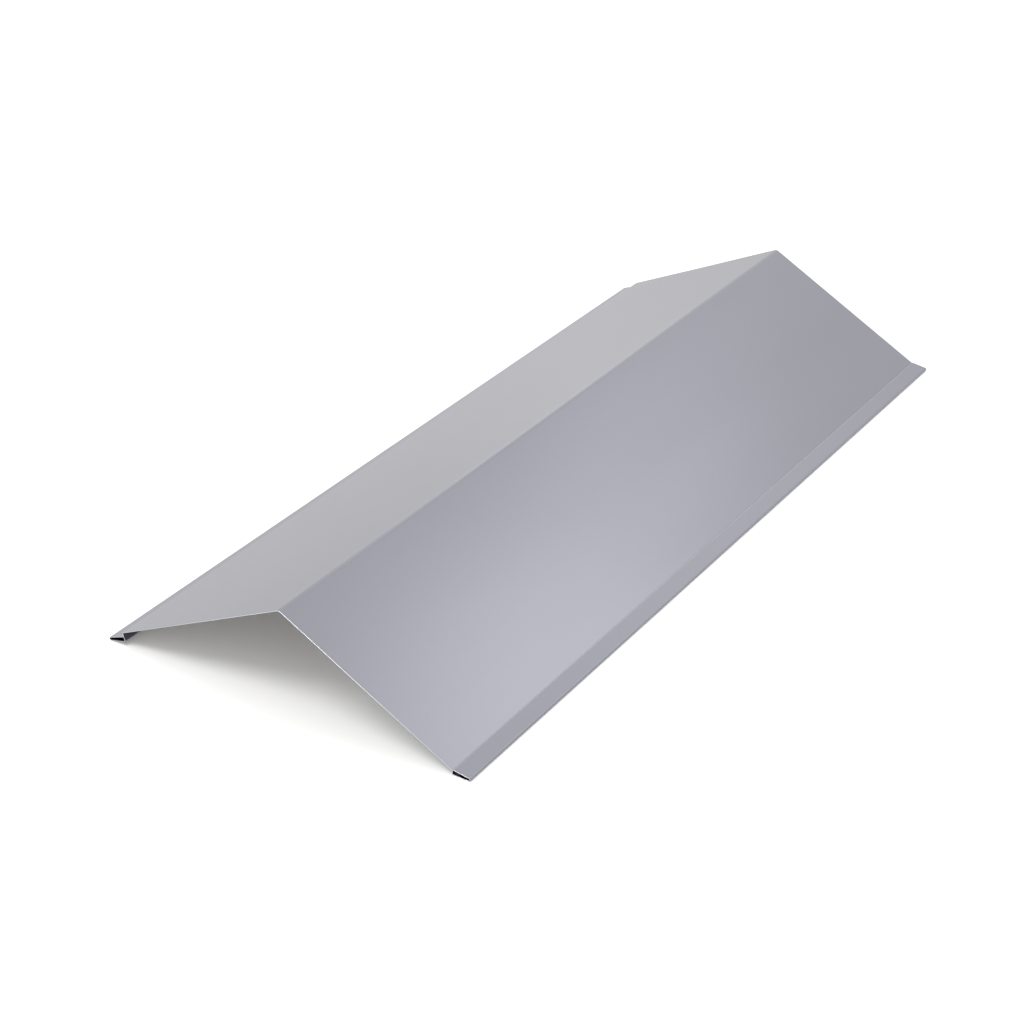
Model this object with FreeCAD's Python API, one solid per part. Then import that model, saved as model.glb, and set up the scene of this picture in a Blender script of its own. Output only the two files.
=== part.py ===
"""Roof ridge cap: one strip of coated steel sheet, folded along its length.

The sheet has a rounded ridge fold with a wing on each side. Each wing ends at a kink, where a short
leg goes down to a foot that runs outward. The sheet then folds back over the foot at a rounded nose,
and its free edge is tucked in beside the leg, so that each long side ends in a stiff hem with no
sharp edge. Lengths are in millimetres, angles in degrees. X runs across the cap, Y along the ridge,
Z is up, and the floor is at Z = 0.
"""
import FreeCAD, Part
import math
import os

# Sheet
SHEET = 0.75                # thickness of the coated sheet
LENGTH = 1000.0             # along the ridge

# Ridge and wings, measured on the middle of the sheet's thickness
WING = 217.0                # slope length from the ridge corner to the kink
RIDGE_HEIGHT = 108.0        # height of the ridge corner above the floor

# Bend radii, to the middle of the sheet
RIDGE_RADIUS = 6.0
KINK_RADIUS = 0.7
HEEL_RADIUS = 2.0
NOSE_RADIUS = 1.6

# Hems
HEM_CLEARANCE = 0.08        # between the free edge and the leg

# Left hem: its foot falls towards the nose
LEFT_LEG = 9.6
LEFT_LEAN = 19.0            # the leg leans inward on its way down
LEFT_FOOT = 19.0            # from the heel corner to the start of the nose
LEFT_FALL = 14.0            # slope of the foot
LEFT_TUCK = 4.2             # the free edge lies this far below the kink

# Right hem: its foot lies flat, and its free edge lies a little above the kink
RIGHT_LEG = 5.0
RIGHT_LEAN = 4.0
RIGHT_FOOT = 17.6
RIGHT_FALL = 0.0
RIGHT_TUCK = -0.6


def point(x, z):
    return FreeCAD.Vector(x, -LENGTH / 2, z)


def direction(heading):
    angle = math.radians(heading)
    return FreeCAD.Vector(math.cos(angle), 0, math.sin(angle))


def setback(radius, turn):
    """Length that a bend takes from each of the straight runs that meet in its corner."""
    return radius * math.tan(math.radians(abs(turn)) / 2)


def hem(leg, lean, foot, fall, tuck):
    """Place a hem outward (+X) of its kink, which is at the origin.

    Returns how far the hem reaches below the kink, the cover's length and slope, and its free end.
    """
    lean_angle = math.radians(lean)
    fall_angle = math.radians(fall)
    heel_x = -leg * math.sin(lean_angle)
    heel_z = -leg * math.cos(lean_angle)
    nose_x = heel_x + foot * math.cos(fall_angle) + NOSE_RADIUS * math.sin(fall_angle)
    nose_z = heel_z - foot * math.sin(fall_angle) + NOSE_RADIUS * math.cos(fall_angle)

    # The free edge stops just short of the leg's outer face.
    end_x = SHEET / 2 / math.cos(lean_angle) + HEM_CLEARANCE - tuck * math.tan(lean_angle)
    end_z = -tuck

    # The cover is the tangent from the nose's bend to the free edge.
    reach = math.hypot(end_x - nose_x, end_z - nose_z)
    cover = math.sqrt(reach ** 2 - NOSE_RADIUS ** 2)
    bearing = math.atan2(end_z - nose_z, end_x - nose_x)
    cover_heading = bearing - math.acos(NOSE_RADIUS / reach) + math.pi / 2
    slope = 180.0 - math.degrees(cover_heading)

    drop = NOSE_RADIUS + SHEET / 2 - nose_z
    return drop, cover, slope, end_x


def outline_side(start, heading, path, offset):
    """Edges of the path's line moved sideways by offset, positive to the left of the walk."""
    edges = []
    place = start
    for length, radius, turn in path:
        side = direction(heading + 90) * offset
        ahead = place + direction(heading) * length
        edges.append(Part.LineSegment(place + side, ahead + side).toShape())
        place = ahead
        if turn == 0:
            continue
        left_or_right = math.copysign(1, turn)
        centre = place + direction(heading + 90) * radius * left_or_right
        arm = offset - radius * left_or_right
        ends = [centre + direction(heading + 90 + turn * share) * arm for share in (0, 0.5, 1)]
        edges.append(Part.Arc(*ends).toShape())
        heading += turn
        place = centre - direction(heading + 90) * radius * left_or_right
    return edges


def folded_sheet(start, heading, path):
    """Solid of the sheet that follows the path, each step a straight run and the bend after it."""
    upper = outline_side(start, heading, path, SHEET / 2)
    lower = outline_side(start, heading, path, -SHEET / 2)
    first_end = Part.LineSegment(lower[0].firstVertex().Point, upper[0].firstVertex().Point)
    last_end = Part.LineSegment(upper[-1].lastVertex().Point, lower[-1].lastVertex().Point)
    loop = [first_end.toShape()] + upper + [last_end.toShape()] + lower[::-1]
    section = Part.Face(Part.Wire(Part.__sortEdges__(loop)))
    return section.extrude(FreeCAD.Vector(0, LENGTH, 0))


def ridge_cap():
    left_drop, left_cover, left_slope, left_end = hem(LEFT_LEG, LEFT_LEAN, LEFT_FOOT, LEFT_FALL, LEFT_TUCK)
    right_drop, right_cover, right_slope, _ = hem(RIGHT_LEG, RIGHT_LEAN, RIGHT_FOOT, RIGHT_FALL, RIGHT_TUCK)
    left_pitch = math.degrees(math.asin((RIDGE_HEIGHT - left_drop) / WING))
    right_pitch = math.degrees(math.asin((RIDGE_HEIGHT - right_drop) / WING))

    # Bends in the order in which the sheet meets them, from the left free edge to the right one.
    left_nose = 180 + LEFT_FALL - left_slope
    left_heel = 90 + LEFT_LEAN - LEFT_FALL
    left_kink = left_pitch - 90 - LEFT_LEAN
    ridge = -left_pitch - right_pitch
    right_kink = right_pitch - 90 - RIGHT_LEAN
    right_heel = 90 + RIGHT_LEAN - RIGHT_FALL
    right_nose = 180 + RIGHT_FALL - right_slope

    ridge_take = setback(RIDGE_RADIUS, ridge)
    left_kink_take = setback(KINK_RADIUS, left_kink)
    right_kink_take = setback(KINK_RADIUS, right_kink)
    left_heel_take = setback(HEEL_RADIUS, left_heel)
    right_heel_take = setback(HEEL_RADIUS, right_heel)
    path = [
        (left_cover, NOSE_RADIUS, left_nose),
        (LEFT_FOOT - left_heel_take, HEEL_RADIUS, left_heel),
        (LEFT_LEG - left_heel_take - left_kink_take, KINK_RADIUS, left_kink),
        (WING - left_kink_take - ridge_take, RIDGE_RADIUS, ridge),
        (WING - ridge_take - right_kink_take, KINK_RADIUS, right_kink),
        (RIGHT_LEG - right_kink_take - right_heel_take, HEEL_RADIUS, right_heel),
        (RIGHT_FOOT - right_heel_take, NOSE_RADIUS, right_nose),
        (right_cover, 0, 0),
    ]
    left_kink_x = -WING * math.cos(math.radians(left_pitch))
    start = point(left_kink_x - left_end, left_drop - LEFT_TUCK)
    cap = folded_sheet(start, 180 + left_slope, path)

    # The cap is centred over the origin.
    cap.translate(FreeCAD.Vector(-cap.BoundBox.Center.x, 0, 0))
    print("wing slopes %.2f and %.2f" % (left_pitch, right_pitch))
    print("cover lengths %.2f and %.2f" % (left_cover, right_cover))
    print("cover slopes %.2f and %.2f" % (left_slope, right_slope))
    return cap


os.makedirs("parts", exist_ok=True)
cap = ridge_cap()
print("ridge_cap", cap.isValid(), len(cap.Solids), round(cap.Volume / 1000, 2), "cm3", cap.BoundBox)
cap.exportStep("parts/ridge_cap.step")
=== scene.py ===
# %% [markdown]
# A roof ridge cap, folded from one strip of sheet
#
# The cap covers the joint at the top of a roof. A maker cuts a strip of coated steel about half a metre
# wide and folds it along its length: a rounded ridge in the middle, a wing on each side, and at each long
# edge a hem, where the sheet turns back over itself so that no sharp edge is left to cut a hand.
# This lesson folds that strip again as one fine mesh, gives it its satin silver coat and its bare sheared
# edges, and photographs it on a white table.

# %% Load the measured cap
import math

import bmesh
import bpy
from mathutils import Matrix, Vector


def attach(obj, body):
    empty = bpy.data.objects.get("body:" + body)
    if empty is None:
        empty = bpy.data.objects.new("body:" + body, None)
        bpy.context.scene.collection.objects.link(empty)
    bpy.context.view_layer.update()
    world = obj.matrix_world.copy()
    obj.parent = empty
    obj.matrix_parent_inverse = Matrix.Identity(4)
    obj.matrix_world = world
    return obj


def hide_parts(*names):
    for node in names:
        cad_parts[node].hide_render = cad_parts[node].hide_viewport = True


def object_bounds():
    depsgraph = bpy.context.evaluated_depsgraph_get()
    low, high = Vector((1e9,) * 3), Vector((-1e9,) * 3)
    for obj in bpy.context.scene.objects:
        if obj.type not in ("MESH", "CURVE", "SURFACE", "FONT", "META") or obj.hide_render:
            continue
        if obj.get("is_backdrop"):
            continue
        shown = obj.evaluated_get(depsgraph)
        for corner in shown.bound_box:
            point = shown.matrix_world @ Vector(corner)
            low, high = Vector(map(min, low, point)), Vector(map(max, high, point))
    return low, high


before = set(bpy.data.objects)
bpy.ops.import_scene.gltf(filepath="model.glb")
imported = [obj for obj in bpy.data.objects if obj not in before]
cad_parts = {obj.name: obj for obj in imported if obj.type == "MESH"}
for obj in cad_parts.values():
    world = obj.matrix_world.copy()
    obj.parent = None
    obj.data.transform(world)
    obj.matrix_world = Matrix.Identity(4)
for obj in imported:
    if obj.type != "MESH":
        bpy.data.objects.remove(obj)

cad_low, cad_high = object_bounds()
print("measured cap, metres:", [round(size, 4) for size in cad_high - cad_low])

# %% [markdown]
# The bends of the sheet
#
# The loaded solid has the right sizes, but its bends are coarse and its ends are knife sharp. A finer cap
# could be a curve with an extrusion, or a thin strip with a Solidify modifier. Both lose hold of the bend
# radii, so here the sheet is walked as a folder would set it out: a straight run, a bend of a given radius
# and turn, the next run, from the free edge of one hem over the ridge to the free edge of the other.
# Lengths are in metres on the middle of the sheet's thickness, and angles are in degrees.

# %% Sizes of the folded strip
SHEET = 0.00075
WING = 0.217
RIDGE_HEIGHT = 0.108
RIDGE_RADIUS = 0.006
KINK_RADIUS = 0.0007
HEEL_RADIUS = 0.002
NOSE_RADIUS = 0.0016
HEM_CLEARANCE = 0.00008
LEFT_HEM = {"leg": 0.0096, "lean": 19.0, "foot": 0.019, "fall": 14.0, "tuck": 0.0042}
RIGHT_HEM = {"leg": 0.005, "lean": 4.0, "foot": 0.0176, "fall": 0.0, "tuck": -0.0006}
LENGTH = cad_high.y - cad_low.y
print("strip of", SHEET * 1000, "mm sheet,", round(LENGTH * 1000, 1), "mm long")


# %% Set out one hem
def hem_layout(leg, lean, foot, fall, tuck):
    """How far a hem hangs below its kink, and the length, slope and free end of the cover over its foot."""
    lean_angle = math.radians(lean)
    fall_angle = math.radians(fall)
    heel = Vector((-leg * math.sin(lean_angle), -leg * math.cos(lean_angle)))
    along_foot = Vector((math.cos(fall_angle), -math.sin(fall_angle)))
    above_foot = Vector((math.sin(fall_angle), math.cos(fall_angle)))
    nose = heel + along_foot * foot + above_foot * NOSE_RADIUS
    end_x = SHEET / 2 / math.cos(lean_angle) + HEM_CLEARANCE - tuck * math.tan(lean_angle)
    reach = Vector((end_x, -tuck)) - nose
    cover = math.sqrt(reach.length_squared - NOSE_RADIUS ** 2)
    heading = math.atan2(reach.y, reach.x) - math.acos(NOSE_RADIUS / reach.length) + math.pi / 2
    drop = NOSE_RADIUS + SHEET / 2 - nose.y
    return {"drop": drop, "cover": cover, "slope": 180 - math.degrees(heading), "end": end_x}


left_layout = hem_layout(**LEFT_HEM)
right_layout = hem_layout(**RIGHT_HEM)
print("hems hang", round(left_layout["drop"] * 1000, 2), "and", round(right_layout["drop"] * 1000, 2), "mm")


# %% List the runs and bends
def setback(radius, turn):
    """Length that a bend takes from each of the two runs that meet in its corner."""
    return radius * math.tan(math.radians(abs(turn)) / 2)


def half_of_folds(hem, layout):
    """Runs and bends from a free edge up to the ridge, and the pitch of the wing."""
    pitch = math.degrees(math.asin((RIDGE_HEIGHT - layout["drop"]) / WING))
    nose_turn = 180 + hem["fall"] - layout["slope"]
    heel_turn = 90 + hem["lean"] - hem["fall"]
    kink_turn = pitch - 90 - hem["lean"]
    heel_take = setback(HEEL_RADIUS, heel_turn)
    kink_take = setback(KINK_RADIUS, kink_turn)
    runs = [
        ("cover", layout["cover"]),
        ("foot", hem["foot"] - heel_take),
        ("leg", hem["leg"] - heel_take - kink_take),
        ("wing", WING - kink_take),
    ]
    bends = [(NOSE_RADIUS, nose_turn), (HEEL_RADIUS, heel_turn), (KINK_RADIUS, kink_turn)]
    return runs, bends, pitch


left_runs, left_bends, left_pitch = half_of_folds(LEFT_HEM, left_layout)
right_runs, right_bends, right_pitch = half_of_folds(RIGHT_HEM, right_layout)
ridge_turn = -left_pitch - right_pitch
ridge_take = setback(RIDGE_RADIUS, ridge_turn)
left_runs[-1] = ("left_wing", left_runs[-1][1] - ridge_take)
right_runs[-1] = ("right_wing", right_runs[-1][1] - ridge_take)
runs = left_runs + right_runs[::-1]
bends = left_bends + [(RIDGE_RADIUS, ridge_turn)] + right_bends[::-1]
straight = sum(length for _, length in runs)
print("straight runs:", round(straight * 1000, 1), "mm, joined by", len(bends), "bends")

# %% [markdown]
# Stations along the section
#
# The walk leaves a station wherever the mesh needs a row of points: every few degrees in a bend, every few
# millimetres on a run, and close beside each bend, so that smooth shading doesn't smear the curve of a bend
# over the flat beside it. The sheared edges are a little rounded, as a guillotine leaves them, so there are
# more stations close to each cut. Each station keeps its place, the way the upper skin faces, how far it
# lies from the free edges, and which run it is on.

# %% Spacing of the stations
BEND_STEP = 6.0
RUN_STEP = 0.008
BESIDE_BEND = 0.0003
CUT_ROUND = 0.00025
CUT_STEPS = 3
cut_rows = []
for step in range(CUT_STEPS + 1):
    cut_rows.append(CUT_ROUND * (1 - math.cos(math.radians(90 * step / CUT_STEPS))))
cut_rows.append(CUT_ROUND + BESIDE_BEND)
print("rows beside a cut, micrometres:", [round(row * 1e6) for row in cut_rows])


# %% Walk the section
def compass(heading):
    """A step of one metre in the direction of a heading."""
    angle = math.radians(heading)
    return Vector((math.cos(angle), math.sin(angle)))


def run_marks(length, first, last):
    """Distances along a run at which the mesh has a row."""
    count = max(1, round(length / RUN_STEP))
    near = cut_rows if first else [0.0, BESIDE_BEND]
    far = cut_rows if last else [0.0, BESIDE_BEND]
    middle = [length * step / count for step in range(1, count)]
    return near + middle + [length - mark for mark in reversed(far)]


def walk_section(start, heading):
    """Stations from the left free edge to the right one."""
    stations = []
    place = start
    for number, (name, length) in enumerate(runs):
        last = number == len(runs) - 1
        for mark in run_marks(length, number == 0, last):
            to_cut = min(mark if number == 0 else math.inf, length - mark if last else math.inf)
            stations.append({"place": place + compass(heading) * mark, "facing": compass(heading + 90),
                             "run": name, "share": mark / length, "to_cut": to_cut})
        place = place + compass(heading) * length
        if last:
            break
        radius, turn = bends[number]
        side = math.copysign(1, turn)
        centre = place + compass(heading + 90) * radius * side
        count = math.ceil(abs(turn) / BEND_STEP)
        for step in range(1, count):
            facing = compass(heading + 90 + turn * step / count)
            stations.append({"place": centre - facing * radius * side, "facing": facing,
                             "run": "bend", "share": 0.0, "to_cut": math.inf})
        heading += turn
        place = centre - compass(heading + 90) * radius * side
    return stations


left_kink_x = -WING * math.cos(math.radians(left_pitch))
first_place = Vector((left_kink_x - left_layout["end"], left_layout["drop"] - LEFT_HEM["tuck"]))
section = walk_section(first_place, 180 + left_layout["slope"])
print("stations across the strip:", len(section))

# %% Centre the section under the measured cap
half_sheet = SHEET / 2
upper_x = [(station["place"] + station["facing"] * half_sheet).x for station in section]
lower_x = [(station["place"] - station["facing"] * half_sheet).x for station in section]
skin_middle = (min(upper_x + lower_x) + max(upper_x + lower_x)) / 2
shift = Vector(((cad_low.x + cad_high.x) / 2 - skin_middle, cad_low.z))
for station in section:
    station["place"] = station["place"] + shift
print("section moved by", round(shift.x * 1000, 3), "mm to lie over the origin")

# %% [markdown]
# Flat sheet is never quite flat
#
# Between the ridge and the kink a wing is held only by its bends, and a folded sheet keeps a faint long
# swell there, about two tenths of a millimetre high. It could be a bump texture, but a real swell belongs
# in the shape. It is two slow waves along the length that fade out towards both bends. Each wave is given
# as its height, its length and where it starts.

# %% Swell of the wings
SWELLS = {
    "left_wing": [(0.00014, 0.71, 0.6), (0.00006, 0.33, 2.1)],
    "right_wing": [(0.00016, 0.83, 1.9), (0.00007, 0.37, 0.3)],
}


def swell(station, along):
    """How far the sheet stands out from its straight section, at a place along the cap."""
    waves = SWELLS.get(station["run"], [])
    held = math.sin(math.pi * station["share"]) ** 2
    return held * sum(size * math.sin(math.tau * along / wave + phase) for size, wave, phase in waves)


print("largest swell:", round(sum(wave[0] for wave in SWELLS["right_wing"]) * 1000, 2), "mm")


# %% [markdown]
# Two skins and the sheared edges
#
# The upper and the lower skin are the same walk, moved half the sheet's thickness to either side. Close to
# a cut, both skins turn in towards each other on a small arc, and a narrow flat band closes the gap: that
# is the sheared edge. Building it from one formula means that the four cut edges meet in clean corners,
# where a bevel tool would have to sort out hundreds of short edges. The coat ends at a cut, and a little
# earlier along the free edges of the hems, where a faint light line shows.

# %% Rows along the length
LENGTH_STEP = 0.02


def half_thickness(to_cut):
    """Half the sheet's thickness, rounded off within a small radius of a cut."""
    inside = max(0.0, CUT_ROUND - to_cut)
    return SHEET / 2 - CUT_ROUND + math.sqrt(CUT_ROUND ** 2 - inside ** 2)


row_count = round(LENGTH / LENGTH_STEP)
rows = cut_rows + [LENGTH * step / row_count for step in range(1, row_count)]
rows = rows + [LENGTH - mark for mark in reversed(cut_rows)]
print("rows along the cap:", len(rows))


# %% Lay out the points of both skins
def skin_points(side):
    """Points of one skin, row after row: side is 1 for the upper skin and -1 for the lower."""
    points = []
    for mark in rows:
        along = cad_low.y + mark
        to_end = min(mark, LENGTH - mark)
        for station in section:
            offset = side * half_thickness(min(to_end, station["to_cut"])) + swell(station, along)
            place = station["place"] + station["facing"] * offset
            points.append((place.x, along, place.y))
    return points


points = skin_points(1) + skin_points(-1)
print("points in both skins:", len(points))

# %% Join the points into faces
across = len(section)
skin_size = across * len(rows)
COATED = 0
SHEARED = 1
BARE_END = 0.75 * CUT_ROUND
RUBBED_EDGE = 0.0006


def sheet_faces():
    """Faces of the two skins and of the bands that close them at the cuts, each with its finish."""
    found = []
    for row in range(len(rows) - 1):
        to_end = min(rows[row + 1], LENGTH - rows[row])
        for column in range(across - 1):
            corner = row * across + column
            quad = (corner, corner + 1, corner + across + 1, corner + across)
            to_free_edge = max(section[column]["to_cut"], section[column + 1]["to_cut"])
            bare = to_end < BARE_END or to_free_edge < RUBBED_EDGE
            finish = SHEARED if bare else COATED
            found.append((quad, finish))
            found.append((tuple(skin_size + index for index in reversed(quad)), finish))
    for row in (0, len(rows) - 1):
        for column in range(across - 1):
            corner = row * across + column
            found.append(((corner, skin_size + corner, skin_size + corner + 1, corner + 1), SHEARED))
    for column in (0, across - 1):
        for row in range(len(rows) - 1):
            corner = row * across + column
            beyond = corner + across
            found.append(((corner, beyond, skin_size + beyond, skin_size + corner), SHEARED))
    return found


faces = sheet_faces()
print("faces:", len(faces), "of which sheared:", sum(finish == SHEARED for _, finish in faces))

# %% Make the mesh
sheet_mesh = bpy.data.meshes.new("ridge_cap_sheet")
sheet_mesh.from_pydata(points, [], [quad for quad, _ in faces])
sheet_mesh.polygons.foreach_set("material_index", [finish for _, finish in faces])
sheet_mesh.polygons.foreach_set("use_smooth", [True] * len(faces))
shaper = bmesh.new()
shaper.from_mesh(sheet_mesh)
bmesh.ops.recalc_face_normals(shaper, faces=shaper.faces)
if shaper.calc_volume(signed=True) < 0:
    bmesh.ops.reverse_faces(shaper, faces=shaper.faces)
steel_volume = shaper.calc_volume(signed=True)
open_edges = sum(not edge.is_manifold for edge in shaper.edges)
shaper.to_mesh(sheet_mesh)
shaper.free()
sheet = bpy.data.objects.new("ridge_cap_sheet", sheet_mesh)
bpy.context.scene.collection.objects.link(sheet)
print("steel:", round(steel_volume * 1e6, 2), "cubic centimetres, open edges:", open_edges)


# %% [markdown]
# Satin silver coat
#
# The strip is coated before it is folded, with a lacquer full of fine aluminium flakes. The flakes make it
# act like a soft metal: it mirrors light and dark broadly and shows no sharp picture. A plain grey paint
# would look chalky and a polished metal too sharp, so the shader is metallic and of middling roughness,
# under a thin clear layer. Flakes lie a little unevenly from the coating line, which gives faint clouds
# stretched along the strip and a fine grain, and the lacquer has a slight orange peel.

# %% Helpers for finishes
PATTERN_LOW = 0.3
PATTERN_HIGH = 0.7


def new_finish(name):
    """A node material with only its shader and output, its nodes and its links."""
    finish = bpy.data.materials.new(name)
    finish.use_nodes = True
    return finish, finish.node_tree.nodes, finish.node_tree.links


def grain_pattern(nodes, links, scale, stretch, detail):
    """Noise in the cap's own metres, with each axis scaled by stretch."""
    place = nodes.new("ShaderNodeTexCoord")
    spread = nodes.new("ShaderNodeMapping")
    spread.inputs["Scale"].default_value = stretch
    noise = nodes.new("ShaderNodeTexNoise")
    noise.inputs["Scale"].default_value = scale
    noise.inputs["Detail"].default_value = detail
    links.new(place.outputs["Object"], spread.inputs["Vector"])
    links.new(spread.outputs["Vector"], noise.inputs["Vector"])
    return noise.outputs["Fac"]


def tone_range(nodes, links, pattern, dark, light):
    """Colours between dark and light, as the pattern goes from low to high."""
    ramp = nodes.new("ShaderNodeValToRGB")
    ramp.color_ramp.elements[0].position = PATTERN_LOW
    ramp.color_ramp.elements[0].color = (*dark, 1)
    ramp.color_ramp.elements[1].position = PATTERN_HIGH
    ramp.color_ramp.elements[1].color = (*light, 1)
    links.new(pattern, ramp.inputs["Fac"])
    return ramp.outputs["Color"]


def value_range(nodes, links, pattern, low, high):
    """A number between low and high, as the pattern goes from low to high."""
    spread = nodes.new("ShaderNodeMapRange")
    spread.inputs["From Min"].default_value = PATTERN_LOW
    spread.inputs["From Max"].default_value = PATTERN_HIGH
    spread.inputs["To Min"].default_value = low
    spread.inputs["To Max"].default_value = high
    links.new(pattern, spread.inputs["Value"])
    return spread.outputs["Result"]


print("patterns are read from", PATTERN_LOW, "to", PATTERN_HIGH)

# %% Mix the silver coat
LACQUER_WEIGHT = 0.5
LACQUER_ROUGHNESS = 0.3
CLOUD_SCALE = 14.0
CLOUD_STRETCH = (1.0, 0.25, 1.0)
CLOUD_DETAIL = 3.0
CLOUD_DARK = (0.291, 0.291, 0.334)
CLOUD_LIGHT = (0.298, 0.298, 0.342)
FLAKE_SCALE = 900.0
FLAKE_STRETCH = (1.0, 1.0, 1.0)
FLAKE_DETAIL = 2.0
FLAKE_SMOOTH = 0.29
FLAKE_ROUGH = 0.33
PEEL_STRENGTH = 0.05
PEEL_HEIGHT = 0.0001


def silver_coat():
    """The lacquer: cloudy tones, flakes that vary the roughness, and orange peel."""
    finish, nodes, links = new_finish("silver_coat")
    shader = nodes["Principled BSDF"]
    shader.inputs["Metallic"].default_value = 1.0
    shader.inputs["Coat Weight"].default_value = LACQUER_WEIGHT
    shader.inputs["Coat Roughness"].default_value = LACQUER_ROUGHNESS
    clouds = grain_pattern(nodes, links, CLOUD_SCALE, CLOUD_STRETCH, CLOUD_DETAIL)
    flakes = grain_pattern(nodes, links, FLAKE_SCALE, FLAKE_STRETCH, FLAKE_DETAIL)
    tones = tone_range(nodes, links, clouds, CLOUD_DARK, CLOUD_LIGHT)
    links.new(tones, shader.inputs["Base Color"])
    roughness = value_range(nodes, links, flakes, FLAKE_SMOOTH, FLAKE_ROUGH)
    links.new(roughness, shader.inputs["Roughness"])
    peel = nodes.new("ShaderNodeBump")
    peel.inputs["Strength"].default_value = PEEL_STRENGTH
    peel.inputs["Distance"].default_value = PEEL_HEIGHT
    links.new(flakes, peel.inputs["Height"])
    links.new(peel.outputs["Normal"], shader.inputs["Normal"])
    return finish


coat = silver_coat()
print("coat nodes:", len(coat.node_tree.nodes))

# %% [markdown]
# Sheared edges
#
# Where the strip was cut, the coat ends and bare steel shows as a thin bright line. One plain light grey
# would do from afar, but a guillotine leaves fine upright score marks and a slight difference between the
# cleanly cut part and the torn part of the thickness, so the bare metal has a short streaky grain. It is a
# little blue, as the cut edges in the photograph are.

# %% Mix the bare steel
SCORE_SCALE = 1500.0
SCORE_STRETCH = (1.0, 1.0, 0.15)
SCORE_DETAIL = 2.0
STEEL_DARK = (0.52, 0.52, 0.543)
STEEL_LIGHT = (0.61, 0.61, 0.637)
STEEL_SMOOTH = 0.34
STEEL_ROUGH = 0.46


def bare_steel():
    """The cut edges: streaks of lighter and rougher metal."""
    finish, nodes, links = new_finish("bare_steel")
    shader = nodes["Principled BSDF"]
    shader.inputs["Metallic"].default_value = 1.0
    scores = grain_pattern(nodes, links, SCORE_SCALE, SCORE_STRETCH, SCORE_DETAIL)
    tones = tone_range(nodes, links, scores, STEEL_DARK, STEEL_LIGHT)
    links.new(tones, shader.inputs["Base Color"])
    roughness = value_range(nodes, links, scores, STEEL_SMOOTH, STEEL_ROUGH)
    links.new(roughness, shader.inputs["Roughness"])
    return finish


steel = bare_steel()
print("steel nodes:", len(steel.node_tree.nodes))

# %% Dress the cap
sheet_mesh.materials.append(coat)
sheet_mesh.materials.append(steel)
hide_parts("ridge_cap")
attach(sheet, "root")
print("dressed", sheet.name, "with", [finish.name for finish in sheet_mesh.materials])

# %% [markdown]
# White table and white surroundings
#
# The cap lies on a white table in an evenly white room. A bright lamp could bleach the table, but it would
# bleach the cap too. Instead the table and the room are simply whiter to the camera than to the light that
# bounces about: Light Path says which kind of ray asks. The camera also sees a faint, slightly warm glow
# painted on the table: it lights nothing, but it lifts and warms every shade on the table evenly, so the
# deepest shade stays grey. The shade under the open end stays, because the table is still lit like any
# surface.

# %% Tell seen rays from bounced ones
TABLE_SEEN = 1.25
# painted glow on the table, seen only by the camera: it lifts and warms the shade under the cap
TABLE_PAINTED_GLOW = (0.106, 0.102, 0.085, 1)
TABLE_MIRRORED = 0.97
TABLE_BOUNCED = 0.8
ROOM_SEEN = 1.0
ROOM_BOUNCED = 0.74
WHITE = (1, 1, 1, 1)


def ray_kinds(nodes, links):
    """Two switches: 1 for rays that a mirror or glass sends on, and 1 for rays from the camera."""
    rays = nodes.new("ShaderNodeLightPath")
    either = nodes.new("ShaderNodeMath")
    either.operation = "MAXIMUM"
    links.new(rays.outputs["Is Glossy Ray"], either.inputs[0])
    links.new(rays.outputs["Is Transmission Ray"], either.inputs[1])
    return either.outputs["Value"], rays.outputs["Is Camera Ray"]


def pick(nodes, links, choice, when_off, when_on):
    """One shader or the other."""
    mix = nodes.new("ShaderNodeMixShader")
    links.new(choice, mix.inputs["Fac"])
    links.new(when_off, mix.inputs[1])
    links.new(when_on, mix.inputs[2])
    return mix.outputs["Shader"]


print("table seen", TABLE_SEEN, "mirrored", TABLE_MIRRORED, "bounced", TABLE_BOUNCED)

# %% Lay the table
TABLE_HALF = 8.0


def white_table():
    """A dull white surface with its own whiteness for each kind of ray, and a painted glow for the camera."""
    finish, nodes, links = new_finish("white_table")
    nodes.remove(nodes["Principled BSDF"])
    shades = {}
    for name, level in (("seen", TABLE_SEEN), ("mirrored", TABLE_MIRRORED), ("bounced", TABLE_BOUNCED)):
        shade = nodes.new("ShaderNodeBsdfDiffuse")
        shade.inputs["Color"].default_value = (level, level, level, 1)
        shades[name] = shade.outputs["BSDF"]
    # painted glow, seen only by the camera, that lifts and warms the table's shade evenly
    glow = nodes.new("ShaderNodeEmission")
    glow.inputs["Color"].default_value = TABLE_PAINTED_GLOW
    seen_plus_painted_glow = nodes.new("ShaderNodeAddShader")
    links.new(shades["seen"], seen_plus_painted_glow.inputs[0])
    links.new(glow.outputs["Emission"], seen_plus_painted_glow.inputs[1])
    mirrored, seen = ray_kinds(nodes, links)
    unseen = pick(nodes, links, mirrored, shades["bounced"], shades["mirrored"])
    shown = pick(nodes, links, seen, unseen, seen_plus_painted_glow.outputs["Shader"])
    links.new(shown, nodes["Material Output"].inputs["Surface"])
    return finish


corner_signs = ((-1, -1), (1, -1), (1, 1), (-1, 1))
table_corners = [(x * TABLE_HALF, y * TABLE_HALF, cad_low.z) for x, y in corner_signs]
table_mesh = bpy.data.meshes.new("table")
table_mesh.from_pydata(table_corners, [], [(0, 1, 2, 3)])
table_mesh.materials.append(white_table())
table = bpy.data.objects.new("table", table_mesh)
bpy.context.scene.collection.objects.link(table)
table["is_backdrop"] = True
print("table", 2 * TABLE_HALF, "m wide")

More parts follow.
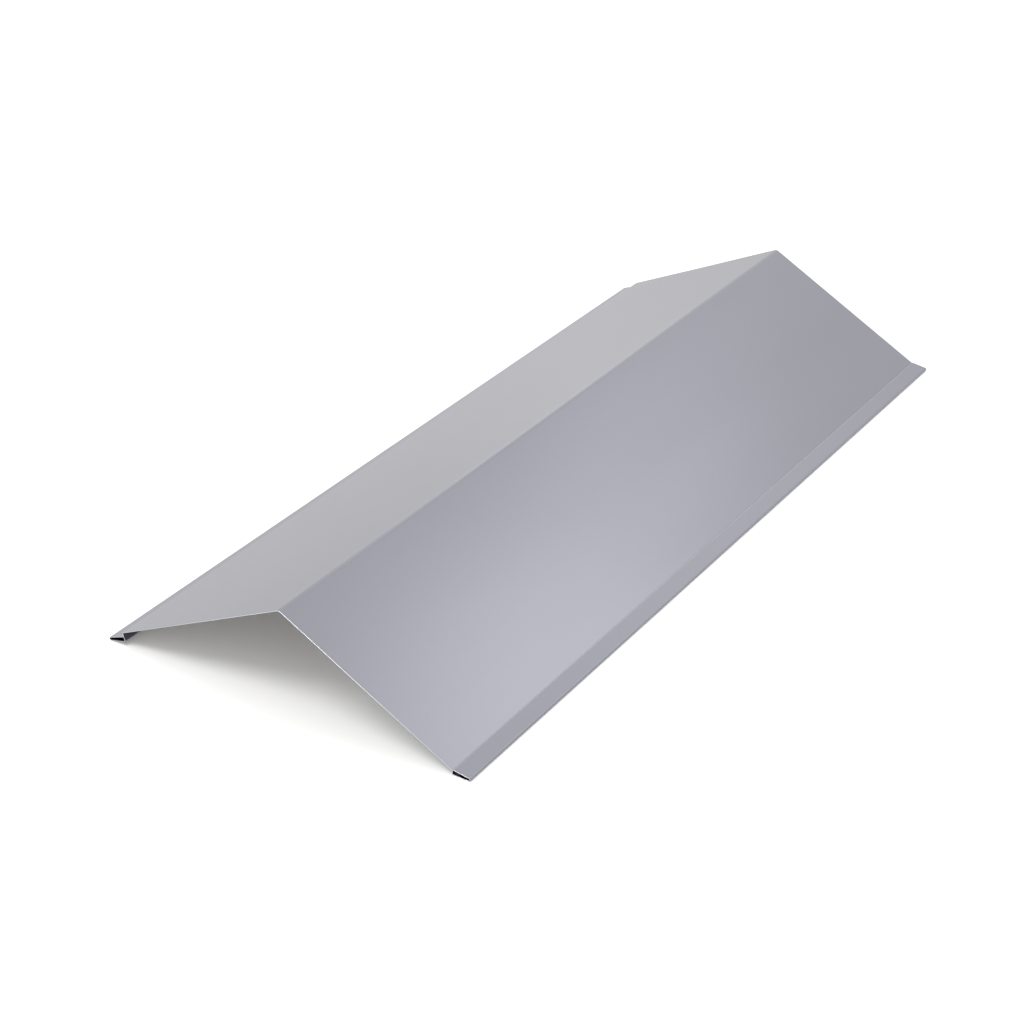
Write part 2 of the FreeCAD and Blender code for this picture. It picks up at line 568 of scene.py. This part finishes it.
# %% Paint the room white
room = bpy.data.worlds.new("white_room")
room.use_nodes = True
bpy.context.scene.world = room
room_nodes = room.node_tree.nodes
room_links = room.node_tree.links
bounced_room = room_nodes["Background"]
bounced_room.inputs["Color"].default_value = WHITE
bounced_room.inputs["Strength"].default_value = ROOM_BOUNCED
seen_room = room_nodes.new("ShaderNodeBackground")
seen_room.inputs["Color"].default_value = WHITE
seen_room.inputs["Strength"].default_value = ROOM_SEEN
room_mirrored, room_seen = ray_kinds(room_nodes, room_links)
room_unseen = pick(room_nodes, room_links, room_mirrored, bounced_room.outputs[0], seen_room.outputs[0])
room_shader = pick(room_nodes, room_links, room_seen, room_unseen, seen_room.outputs[0])
room_links.new(room_shader, room_nodes["World Output"].inputs["Surface"])
print("room light:", ROOM_BOUNCED)

# %% [markdown]
# Soft lamps
#
# One large lamp overhead would be simple, but both wings would then look alike. A satin coat shows lamps as
# broad glows, so each lamp is placed for the glow it makes. The sheen lamp is behind the right wing, where a
# flat mirror lying on the wing would show it to the camera. A weaker ridge lamp draws that glow up towards
# the ridge, and a weak far lamp lifts the far upper part of the wing. A wide back lamp far behind lights the
# flat hem and rounds off the ridge, and a left lamp lightens the far part of the left wing. The key lamp,
# high in front, gives the shade under the near end a clear edge. A tiny edge lamp lies close to the table
# in front, so that it lights the sheared edges and little of the table.

# %% Hang the soft lamps
LAMP_AIM = Vector((0.05, -0.1, 0.05))
LAMPS = {
    "sheen_lamp": {"place": (0.55, 0.55, 0.9), "width": 0.55, "watts": 0.7},
    "ridge_lamp": {"place": (0.3, 0.85, 0.75), "width": 0.4, "watts": 0.146},
    "far_lamp": {"place": (0.0, 1.0, 0.6), "width": 0.4, "watts": 0.036},
    "back_lamp": {"place": (-0.9, 2.2, 2.0), "width": 1.2, "watts": 1.24},
    "left_lamp": {"place": (-0.9, 1.0, 0.5), "width": 0.6, "watts": 0.45},
    "key_lamp": {"place": (-0.48, -1.2, 1.8), "width": 0.9, "watts": 10.5},
    "edge_lamp": {"place": (-0.16, -1.1, 0.012), "width": 0.02, "watts": 2.8},
}


def soft_lamp(name, place, width, watts):
    """A round soft lamp that shines on the middle of the cap."""
    light = bpy.data.lights.new(name, "AREA")
    light.shape = "DISK"
    light.size = width
    light.energy = watts
    lamp = bpy.data.objects.new(name, light)
    lamp.location = place
    lamp.rotation_euler = (LAMP_AIM - lamp.location).to_track_quat("-Z", "Y").to_euler()
    bpy.context.scene.collection.objects.link(lamp)
    return lamp


lamps = {name: soft_lamp(name, **lamp) for name, lamp in LAMPS.items()}
print("lamps:", list(lamps))

# %% [markdown]
# Camera
#
# The camera looks down on the near open end from the right, through a long lens. It could be aimed at the cap
# with a Track To constraint, but its place and turn were found by lining up the corners of the measured cap
# with the corners in the photograph, so yaw, pitch and roll are set out as angles.

# %% Set up the camera
CAMERA_PLACE = Vector((1.1372, -1.9017, 1.2386))
CAMERA_YAW = math.radians(-32.262)
CAMERA_PITCH = math.radians(29.743)
CAMERA_ROLL = math.radians(0.716)
CAMERA_LENS = 81.46
SENSOR_WIDTH = 36.0
SIGHT_LIMIT = 100.0

ahead = Vector((
    math.sin(CAMERA_YAW) * math.cos(CAMERA_PITCH),
    math.cos(CAMERA_YAW) * math.cos(CAMERA_PITCH),
    -math.sin(CAMERA_PITCH),
))
level = Vector((math.cos(CAMERA_YAW), -math.sin(CAMERA_YAW), 0))
upright = level.cross(ahead)
right = level * math.cos(CAMERA_ROLL) + upright * math.sin(CAMERA_ROLL)
up = upright * math.cos(CAMERA_ROLL) - level * math.sin(CAMERA_ROLL)
turn = Matrix((right, up, -ahead)).transposed()

camera_data = bpy.data.cameras.new("camera")
camera_data.lens = CAMERA_LENS
camera_data.sensor_width = SENSOR_WIDTH
camera_data.clip_end = SIGHT_LIMIT
camera = bpy.data.objects.new("camera", camera_data)
camera.matrix_world = Matrix.Translation(CAMERA_PLACE) @ turn.to_4x4()
bpy.context.scene.collection.objects.link(camera)
bpy.context.scene.camera = camera
bpy.context.scene.view_settings.view_transform = "Standard"
cap_middle = (cad_low + cad_high) / 2
print("camera", round((CAMERA_PLACE - cap_middle).length, 2), "m away")

# %% Compare the boxes and finish
new_low, new_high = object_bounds()
size_change = (new_high - new_low) - (cad_high - cad_low)
print("difference in size, mm:", [round(change * 1000, 4) for change in size_change])
